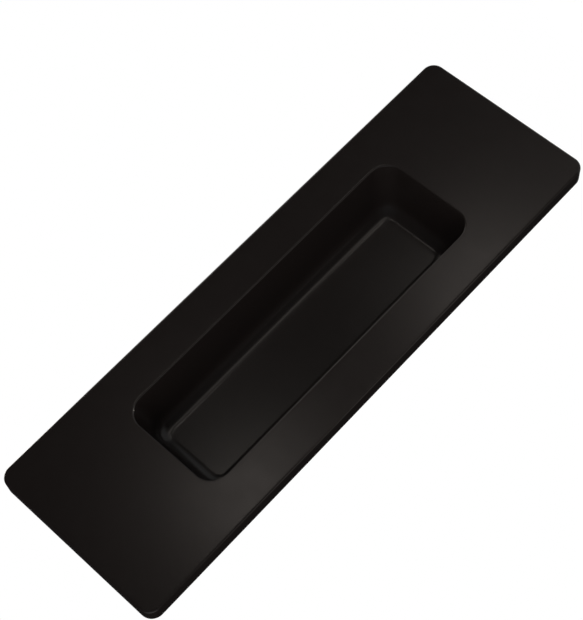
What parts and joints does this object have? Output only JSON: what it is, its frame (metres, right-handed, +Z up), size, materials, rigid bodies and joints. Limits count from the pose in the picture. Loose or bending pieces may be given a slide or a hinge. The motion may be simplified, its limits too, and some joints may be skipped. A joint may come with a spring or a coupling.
{
  "type": "pocket door pull",
  "caption": "Flush pull for a sliding or pocket door: a flat cast plate with a drafted finger pocket, held from behind by machine screws in cast posts.",
  "frame": {"origin": "centre of the rim's back plane, where the pull lies on the door", "axes": "+Z up along the plate's length, +Y into the door, +X across the plate; the face looks towards -Y"},
  "size_m": [0.0488, 0.0504, 0.15],
  "materials": {
    "black_satin": "satin black coat over a zinc casting",
    "screw_steel": "bright nickel plate"
  },
  "bodies": {
    "root": {"pull_body": "black_satin", "fixing_screws": "screw_steel"}
  },
  "joints": []
}
